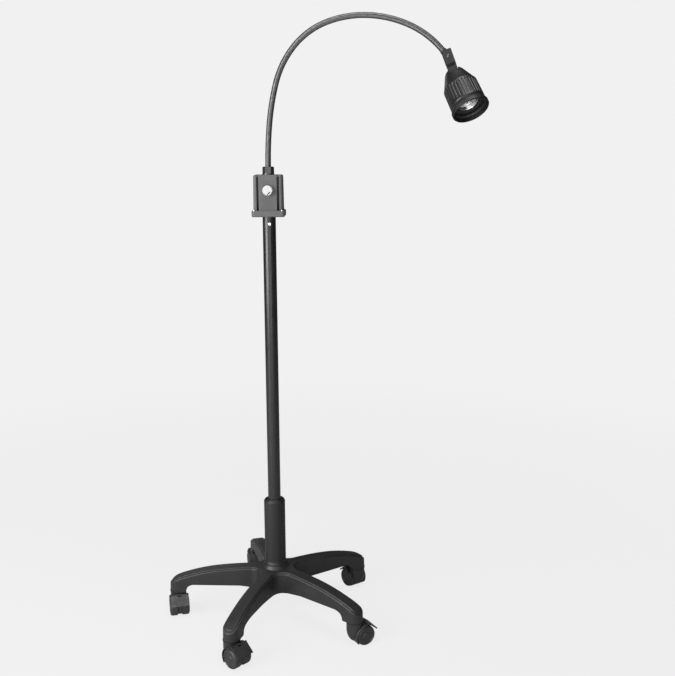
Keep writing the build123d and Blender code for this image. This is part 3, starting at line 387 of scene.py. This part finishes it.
def turned(name, colour, roughness):
    """Bare or plated metal with fine tool marks."""
    paint = Paint(name, roughness, metallic=1.0)
    lines = paint.noise(900.0, 2.0, (1, 1, 8))
    cloud = paint.ranged(paint.noise(40.0), 0, 1)
    paint.colour(paint.mixed(cloud, shade(colour, 0.85), colour))
    paint.roughness(paint.ranged(lines, roughness * 0.8, roughness * 1.4))
    paint.bump(lines, 0.00002)
    return paint


def neck_paint():
    """Dark plated spiral: painted shade between the turns, where it is also rougher; lighter crests."""
    paint = Paint("neck_steel", 0.32, metallic=0.85)
    crest = paint.nodes.new("ShaderNodeAttribute")
    crest.attribute_name = "crest"
    height = crest.outputs["Fac"]
    top = paint.ranged(height, 0, 1, 0.35, 0.95)
    # painted shade: near black in the valleys between the turns, the plated tone on the crests
    valley_shaded = paint.mixed(top, (0.012, 0.012, 0.013), (0.24, 0.24, 0.245))
    cloud = paint.ranged(paint.noise(70.0), 0, 0.5)
    paint.colour(paint.mixed(cloud, valley_shaded, (0.10, 0.10, 0.102)))
    paint.roughness(paint.ranged(height, 0.55, 0.3, 0.0, 0.9))
    paint.bump(paint.noise(1500.0, 2.0), 0.00002)
    return paint


def mirror_paint():
    """Dichroic coat: bright, faintly tinted in patches."""
    paint = Paint("reflector_glass", 0.16, metallic=1.0)
    tint = paint.ranged(paint.noise(120.0, 1.0), 0, 1)
    paint.colour(paint.mixed(tint, (0.66, 0.66, 0.70), (0.72, 0.70, 0.66)))
    paint.roughness(paint.ranged(paint.noise(500.0), 0.16, 0.28))
    return paint


def quartz_paint():
    """Quartz, clear in part, mostly near-white so the capsule reads bright as a painted highlight, with a faint
    bloom.
    """
    paint = Paint("capsule_glass", 0.05, ior=1.46)
    # painted highlight: low transmission and a near-white colour stand in for the capsule's bright glint
    paint.shader.inputs["Transmission Weight"].default_value = 0.3
    bloom = paint.ranged(paint.noise(200.0), 0, 1)
    paint.colour(paint.mixed(bloom, (0.97, 0.97, 0.95), (0.88, 0.88, 0.86)))
    paint.roughness(paint.ranged(paint.noise(700.0), 0.03, 0.12))
    return paint


def ceramic_paint():
    """Unglazed ceramic: cream, mottled and porous."""
    paint = Paint("holder_ceramic", 0.65)
    mottle = paint.ranged(paint.noise(500.0, 4.0), 0, 1)
    paint.colour(paint.mixed(mottle, (0.72, 0.70, 0.64), (0.82, 0.81, 0.77)))
    paint.bump(paint.noise(900.0, 3.0), 0.00008)
    return paint


def board_paint():
    """Circuit board: green mask with copper tracks showing through."""
    paint = Paint("board_green", 0.35, coat=0.4)
    track = paint.noise(260.0, 0.0, (1, 1, 0.25))
    edge = paint.ranged(track, 0, 1, 0.5, 0.52)
    paint.colour(paint.mixed(edge, (0.015, 0.12, 0.05), (0.03, 0.2, 0.09)))
    paint.bump(track, 0.00005)
    return paint


def lamination_paint():
    """Varnished stack of iron sheets."""
    paint = Paint("core_iron", 0.4, metallic=0.4)
    sheets = paint.noise(600.0, 0.0, (0.02, 1, 0.02))
    varnish = paint.ranged(sheets, 0, 1)
    paint.colour(paint.mixed(varnish, (0.03, 0.028, 0.026), (0.09, 0.085, 0.08)))
    paint.bump(sheets, 0.0002)
    return paint


def make_materials():
    """One material for each slot of the record, and two for finer pieces."""
    paints = [
        moulded("base_polymer", (0.020, 0.020, 0.0212), 0.45, grain=1100.0),
        moulded("black_plastic", (0.010, 0.010, 0.011), 0.5),
        turned("bright_steel", (0.62, 0.62, 0.63), 0.3),
        moulded("sleeve_plastic", (0.013, 0.013, 0.014), 0.48, grain=1500.0, grain_depth=0.00004),
        sprayed("pole_paint", (0.014, 0.014, 0.015), 0.3, coat=0.3),
        turned("chrome_screw", (0.85, 0.85, 0.86), 0.14),
        moulded("box_plastic", (0.094, 0.094, 0.095), 0.52, grain=1300.0, grain_depth=0.00005),
        lamination_paint(),
        board_paint(),
        moulded("nut_black", (0.022, 0.022, 0.023), 0.3, grain=800.0, grain_depth=0.00002, coat=1.0),
        moulded("knob_white", (0.56, 0.56, 0.56), 0.4, grain=900.0, grain_depth=0.00002, coat=0.1,
                spread=0.02),
        neck_paint(),
        sprayed("head_paint", (0.012, 0.012, 0.013), 0.36, coat=0.0),
        moulded("head_plastic", (0.006, 0.006, 0.0065), 0.5),
        mirror_paint(),
        quartz_paint(),
        ceramic_paint(),
        moulded("caster_plastic", (0.023, 0.023, 0.0245), 0.42, grain=1300.0, grain_depth=0.00005),
        moulded("wheel_plastic", (0.030, 0.030, 0.0315), 0.42, grain=1500.0, grain_depth=0.00004),
        moulded("rubber", (0.006, 0.006, 0.006), 0.7, grain=2000.0, grain_depth=0.00003),
        turned("screw_dark", (0.16, 0.16, 0.165), 0.42),
    ]
    return {paint.name: paint.material for paint in paints}


# -------------------------------------------------------------- mesh helpers

def add_piece(name, shape, material, smooth=True):
    """Mesh object from a bmesh, with its material in the mesh's one slot."""
    mesh = bpy.data.meshes.new(name)
    shape.to_mesh(mesh)
    shape.free()
    for face in mesh.polygons:
        face.use_smooth = smooth
    piece = bpy.data.objects.new(name, mesh)
    link(piece)
    mesh.materials.append(material)
    return piece


def add_ring(shape, centre, across, up, radius, sides, shift=0.0):
    """Vertices of a circle round centre, from across towards up, moved on by shift sides."""
    ring = []
    for k in range(sides):
        angle = 2 * pi * (k + shift) / sides
        ring.append(shape.verts.new(centre + (across * cos(angle) + up * sin(angle)) * radius))
    return ring


def skin(shape, rings):
    """Faces between each ring and the next."""
    for lower, upper in zip(rings, rings[1:]):
        for k in range(len(lower)):
            after = (k + 1) % len(lower)
            shape.faces.new((lower[k], lower[after], upper[after], upper[k]))


def cap(shape, rings):
    """Faces over the first and the last ring."""
    shape.faces.new(list(reversed(rings[0])))
    shape.faces.new(rings[-1])


def fan(shape, ring, tip):
    """Triangles from a ring to the vertex at its middle."""
    for k in range(len(ring)):
        shape.faces.new((ring[k], ring[(k + 1) % len(ring)], tip))


def tube(shape, points, radius, sides):
    """Round bar along points, with closed ends."""
    rings = []
    for index, point in enumerate(points):
        before = points[max(index - 1, 0)]
        after = points[min(index + 1, len(points) - 1)]
        turn = (after - before).to_track_quat("Z", "Y")
        across, up = turn @ Vector((1, 0, 0)), turn @ Vector((0, 1, 0))
        rings.append(add_ring(shape, point, across, up, radius, sides))
    skin(shape, rings)
    cap(shape, rings)


# --------------------------------------------------------------- gooseneck

def neck_place(length):
    """Point, tangent and inward normal of the neck's centreline at a length along it."""
    if length <= 0:
        return Vector((0, 0, NECK_START + length)), Vector((0, 0, 1)), Vector((1, 0, 0))
    whole = min(int(length / ARC + 1e-6), LINKS - 1)
    point = Vector((0, 0, NECK_START))
    for index in range(whole + 1):
        run = ARC if index < whole else length - whole * ARC
        turn = radians(HEADINGS[index + 1] - HEADINGS[index])
        start = radians(HEADINGS[index])
        end = start + turn * run / ARC
        step = Vector((cos(start) - cos(end), 0, sin(end) - sin(start)))
        point = point + step * (ARC / turn)
    return point, Vector((sin(end), 0, cos(end))), Vector((cos(end), 0, -sin(end)))


def wound(turns):
    """Height of the wound profile: a round crest with a sharp valley on each turn."""
    return sin(pi * (turns - floor(turns)))


def spiral_piece(name, low, high, material):
    """Closed spiral tube between two lengths along the neck; it keeps its crest's height."""
    count = max(2, round((high - low) / (PITCH_WOUND / SAMPLES_PER_TURN)))
    shape = bmesh.new()
    crest = shape.verts.layers.float.new("crest")
    rings = []
    for step in range(count + 1):
        length = low + (high - low) * step / count
        point, _, inward = neck_place(length)
        ring = []
        for index in range(NECK_SIDES):
            angle = 2 * pi * index / NECK_SIDES
            height = wound(length / PITCH_WOUND + index / NECK_SIDES)
            radius = NECK_R - WOUND_DEPTH * (1 - height)
            outward = inward * cos(angle) - FRONT * sin(angle)
            vertex = shape.verts.new(point + outward * radius)
            vertex[crest] = height
            ring.append(vertex)
        rings.append(ring)
    skin(shape, rings)
    cap(shape, rings)
    return add_piece(name, shape, material)


def make_neck(paints):
    """One spiral in seven pieces, each joint of the frame in the middle of one; the first piece follows the stand,
    the last follows the last link, and the ones between stay fixed.
    """
    joint_lengths = [ARC * (index + 2) for index in range(LINKS - 2)]
    cuts = [NECK_FOOT]
    cuts += [length - ARC / 2 for length in joint_lengths]
    cuts += [joint_lengths[-1] + ARC / 2, LINKS * ARC + NECK_TAIL]
    for index, (low, high) in enumerate(zip(cuts, cuts[1:])):
        piece = spiral_piece(f"neck_spiral_{index + 1}", low, high, paints["neck_steel"])
        if index == 0:
            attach(piece, "stand")
        elif index == LINKS - 1:
            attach(piece, f"neck_link_{LINKS - 1}")
        else:
            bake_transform(piece)
    for index in range(1, LINKS):
        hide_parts(f"gooseneck_{index}")


def make_fitting(paints):
    """End fitting of the neck: a narrow band round the spiral, and the pivot's flat tongue."""
    foot, along, inward = neck_place(LINKS * ARC)
    shape = bmesh.new()
    band = [
        add_ring(shape, foot + along * height, inward, -FRONT, radius, BAND_SIDES)
        for radius, height in BAND_OUTLINE
    ]
    skin(shape, band + band[:1])
    round_faces = len(shape.faces)

    pivot = foot + along * TONGUE_REACH
    rim = [(-TONGUE_HALF_W, TONGUE_FOOT - TONGUE_REACH)]
    for k in range(TONGUE_STEPS + 1):
        angle = pi * k / TONGUE_STEPS
        rim.append((-TONGUE_HALF_W * cos(angle), TONGUE_HALF_W * sin(angle)))
    rim.append((TONGUE_HALF_W, TONGUE_FOOT - TONGUE_REACH))
    face = TONGUE_HALF_T - TONGUE_BEVEL
    small = 1 - TONGUE_BEVEL / TONGUE_HALF_W
    plates = []
    for depth, size in ((-TONGUE_HALF_T, small), (-face, 1), (face, 1), (TONGUE_HALF_T, small)):
        centre = pivot - FRONT * depth
        plates.append([shape.verts.new(centre + (along * z + inward * x) * size) for x, z in rim])
    skin(shape, plates)
    cap(shape, plates)
    bmesh.ops.recalc_face_normals(shape, faces=shape.faces)
    piece = add_piece("neck_end_fitting", shape, paints["head_paint"], smooth=False)
    for polygon in piece.data.polygons[:round_faces]:
        polygon.use_smooth = True
    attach(piece, f"neck_link_{LINKS - 1}")
    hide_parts("neck_fitting")


# --------------------------------------------------------------- lamp head

def head_point(x, y, z):
    """Point of the lamp head: x across it, z along its axis from the cap's top."""
    return CAP_TOP + ACROSS * x + HEAD_AXIS.cross(ACROSS) * y + HEAD_AXIS * z


def head_ring(shape, radius, height, sides, shift=0.0):
    """Ring round the head's axis at a height from the cap's top."""
    centre = head_point(0, 0, height)
    return add_ring(shape, centre, ACROSS, HEAD_AXIS.cross(ACROSS), radius, sides, shift)


def make_pivot_screw(paints):
    """Burnished screw of the upper pivot: domed, slotted head at the front, riveted behind."""
    up = -ARM_DOWN
    side = up.cross(FRONT)
    slot_half_w, slot_depth = SCREW_SLOT
    shape = bmesh.new()
    rings = []
    for radius, reach in SCREW_OUTLINE:
        ring = []
        for k in range(SCREW_SIDES):
            angle = 2 * pi * (k + 0.5) / SCREW_SIDES
            x, y = radius * cos(angle), radius * sin(angle)
            slotted = reach > SCREW_SLOT_FLOOR and abs(y) < slot_half_w
            depth = slot_depth if slotted else 0.0
            ring.append(shape.verts.new(PIVOT + side * x + up * y + FRONT * (reach - depth)))
        rings.append(ring)
    skin(shape, rings)
    fan(shape, rings[0], shape.verts.new(PIVOT + FRONT * SCREW_TOP))
    fan(shape, rings[-1], shape.verts.new(PIVOT + FRONT * SCREW_FOOT))
    bmesh.ops.recalc_face_normals(shape, faces=shape.faces)
    piece = add_piece("pivot_screw", shape, paints["screw_dark"])
    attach(piece, "tilt_link")
    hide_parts("neck_pivot_screw")


def rib_height(share):
    """Height of the barrel's rib (1) or of the cut beside it (0), over one pitch."""
    away = abs(share - 0.5)
    return min(1.0, max(0.0, (away - RIB_CUT_HALF) / RIB_FLANK))


def make_barrel(paints):
    """Ribbed barrel of the head; its cuts run out at both ends."""
    count = RIBS * RIB_SAMPLES
    shape = bmesh.new()
    rows = []
    for radius, height, cut in BARREL_OUTLINE:
        row = []
        for index in range(count):
            angle = 2 * pi * index / count
            share = index % RIB_SAMPLES / RIB_SAMPLES
            reach = radius - RIB_DEPTH * cut * (1 - rib_height(share))
            row.append(shape.verts.new(head_point(reach * cos(angle), reach * sin(angle), height)))
        rows.append(row)
    skin(shape, rows + rows[:1])
    bmesh.ops.recalc_face_normals(shape, faces=shape.faces)
    piece = add_piece("barrel_ribbed", shape, paints["head_paint"])
    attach(piece, "lamp_head")
    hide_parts("head_barrel")


def facet_faces(shape, lower, upper, odd):
    """Two triangles a facet between rows that are half a facet apart."""
    for k in range(FACETS):
        after = (k + 1) % FACETS
        if odd:
            shape.faces.new((lower[k], lower[after], upper[after]))
            shape.faces.new((lower[k], upper[after], upper[k]))
        else:
            shape.faces.new((lower[k], lower[after], upper[k]))
            shape.faces.new((lower[after], upper[after], upper[k]))


def make_reflector(paints):
    """Dish of pressed glass whose inside is divided into facets."""
    shape = bmesh.new()
    rows = []
    for row in range(FACET_ROWS + 1):
        share = row / FACET_ROWS
        radius = THROAT_R + (MOUTH_R - THROAT_R) * share
        height = DISH_FLOOR + (LAMP_RIM - DISH_FLOOR) * share ** DISH_CURVE
        rows.append(head_ring(shape, radius, height, FACETS, 0.5 * (row % 2)))
    for row in range(FACET_ROWS):
        facet_faces(shape, rows[row], rows[row + 1], row % 2)
    shift = 0.5 * (FACET_ROWS % 2)
    back = [head_ring(shape, radius, height, FACETS, shift) for radius, height in DISH_BACK]
    skin(shape, rows[-1:] + back)
    facet_faces(shape, back[-1], rows[0], False)
    bmesh.ops.recalc_face_normals(shape, faces=shape.faces)
    piece = add_piece("reflector_dish", shape, paints["reflector_glass"])
    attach(piece, "lamp_head")
    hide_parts("lamp_reflector")


def make_filament(paints):
    """Coiled filament and its two leads inside the capsule."""
    shape = bmesh.new()
    coil = []
    steps = COIL_TURNS * COIL_STEPS
    for index in range(steps + 1):
        angle = 2 * pi * index / COIL_STEPS
        x = -COIL_HALF + 2 * COIL_HALF * index / steps
        z = LAMP_RIM - COIL_DEPTH + COIL_R * sin(angle)
        coil.append(head_point(x, COIL_R * cos(angle), z))
    tube(shape, coil, COIL_WIRE_R, COIL_WIRE_SIDES)
    for x in (-COIL_HALF, COIL_HALF):
        foot = head_point(x, 0, LEAD_FOOT)
        knee = head_point(x, 0, LEAD_KNEE)
        tube(shape, [foot, foot.lerp(knee, 0.5), knee], LEAD_WIRE_R, LEAD_WIRE_SIDES)
    piece = add_piece("lamp_filament", shape, paints["bright_steel"])
    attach(piece, "lamp_head")


# -------------------------------------------------------------- control box

def make_pointer(paints):
    """Dark inlay over the groove of the knob's face, rounded at its ends."""
    shape = bmesh.new()
    across = (POINTER_END - POINTER_START).normalized().cross(-FRONT)
    rings = []
    for step in POINTER_STEPS:
        size = min(1.0, POINTER_TIP + min(step, 1 - step) * POINTER_GROWTH)
        centre = POINTER_START.lerp(POINTER_END, step)
        half_w, half_t = across * POINTER_HALF_W, -FRONT * POINTER_HALF_T
        rings.append(add_ring(shape, centre, half_w, half_t, size, POINTER_SIDES))
    skin(shape, rings)
    cap(shape, rings)
    piece = add_piece("knob_pointer", shape, paints["black_plastic"])
    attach(piece, "dimmer_knob")


def make_groove_shade_strips(paints):
    """Ribbed black strip on the floor of each groove beside the front panel, painted shade that darkens the
    groove.
    """
    steps = SHADE_STRIP_RIBS * SHADE_STRIP_STEPS
    profile = [(-SHADE_STRIP_HALF_W, 0.0)]
    for index in range(steps + 1):
        share = index / steps
        height = SHADE_STRIP_T + SHADE_STRIP_RIB_H * abs(sin(pi * SHADE_STRIP_RIBS * share))
        profile.append((-SHADE_STRIP_HALF_W + 2 * SHADE_STRIP_HALF_W * share, height))
    profile.append((SHADE_STRIP_HALF_W, 0.0))
    for name, side in (("left", -1), ("right", 1)):
        shape = bmesh.new()
        ends = [
            [shape.verts.new((side * GROOVE_X + x, GROOVE_FLOOR - height, z)) for x, height in profile]
            for z in GROOVE_ENDS
        ]
        skin(shape, ends)
        cap(shape, ends)
        bmesh.ops.recalc_face_normals(shape, faces=shape.faces)
        piece = add_piece(f"groove_shade_strip_{name}", shape, paints["rubber"])
        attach(piece, "stand")


# ----------------------------------------------------------------- assembly

def dress_nodes(paints):
    """Every CAD node gets its slot's material."""
    for name, node in NODES.items():
        material = paints[SLOTS[name]]
        if not node.material_slots:
            node.data.materials.append(material)
        for slot in node.material_slots:
            slot.material = material


make_camera()
make_studio()
make_floor()
PAINTS = make_materials()
dress_nodes(PAINTS)
make_neck(PAINTS)
make_pointer(PAINTS)
make_groove_shade_strips(PAINTS)
make_filament(PAINTS)
make_reflector(PAINTS)
make_barrel(PAINTS)
make_fitting(PAINTS)
make_pivot_screw(PAINTS)
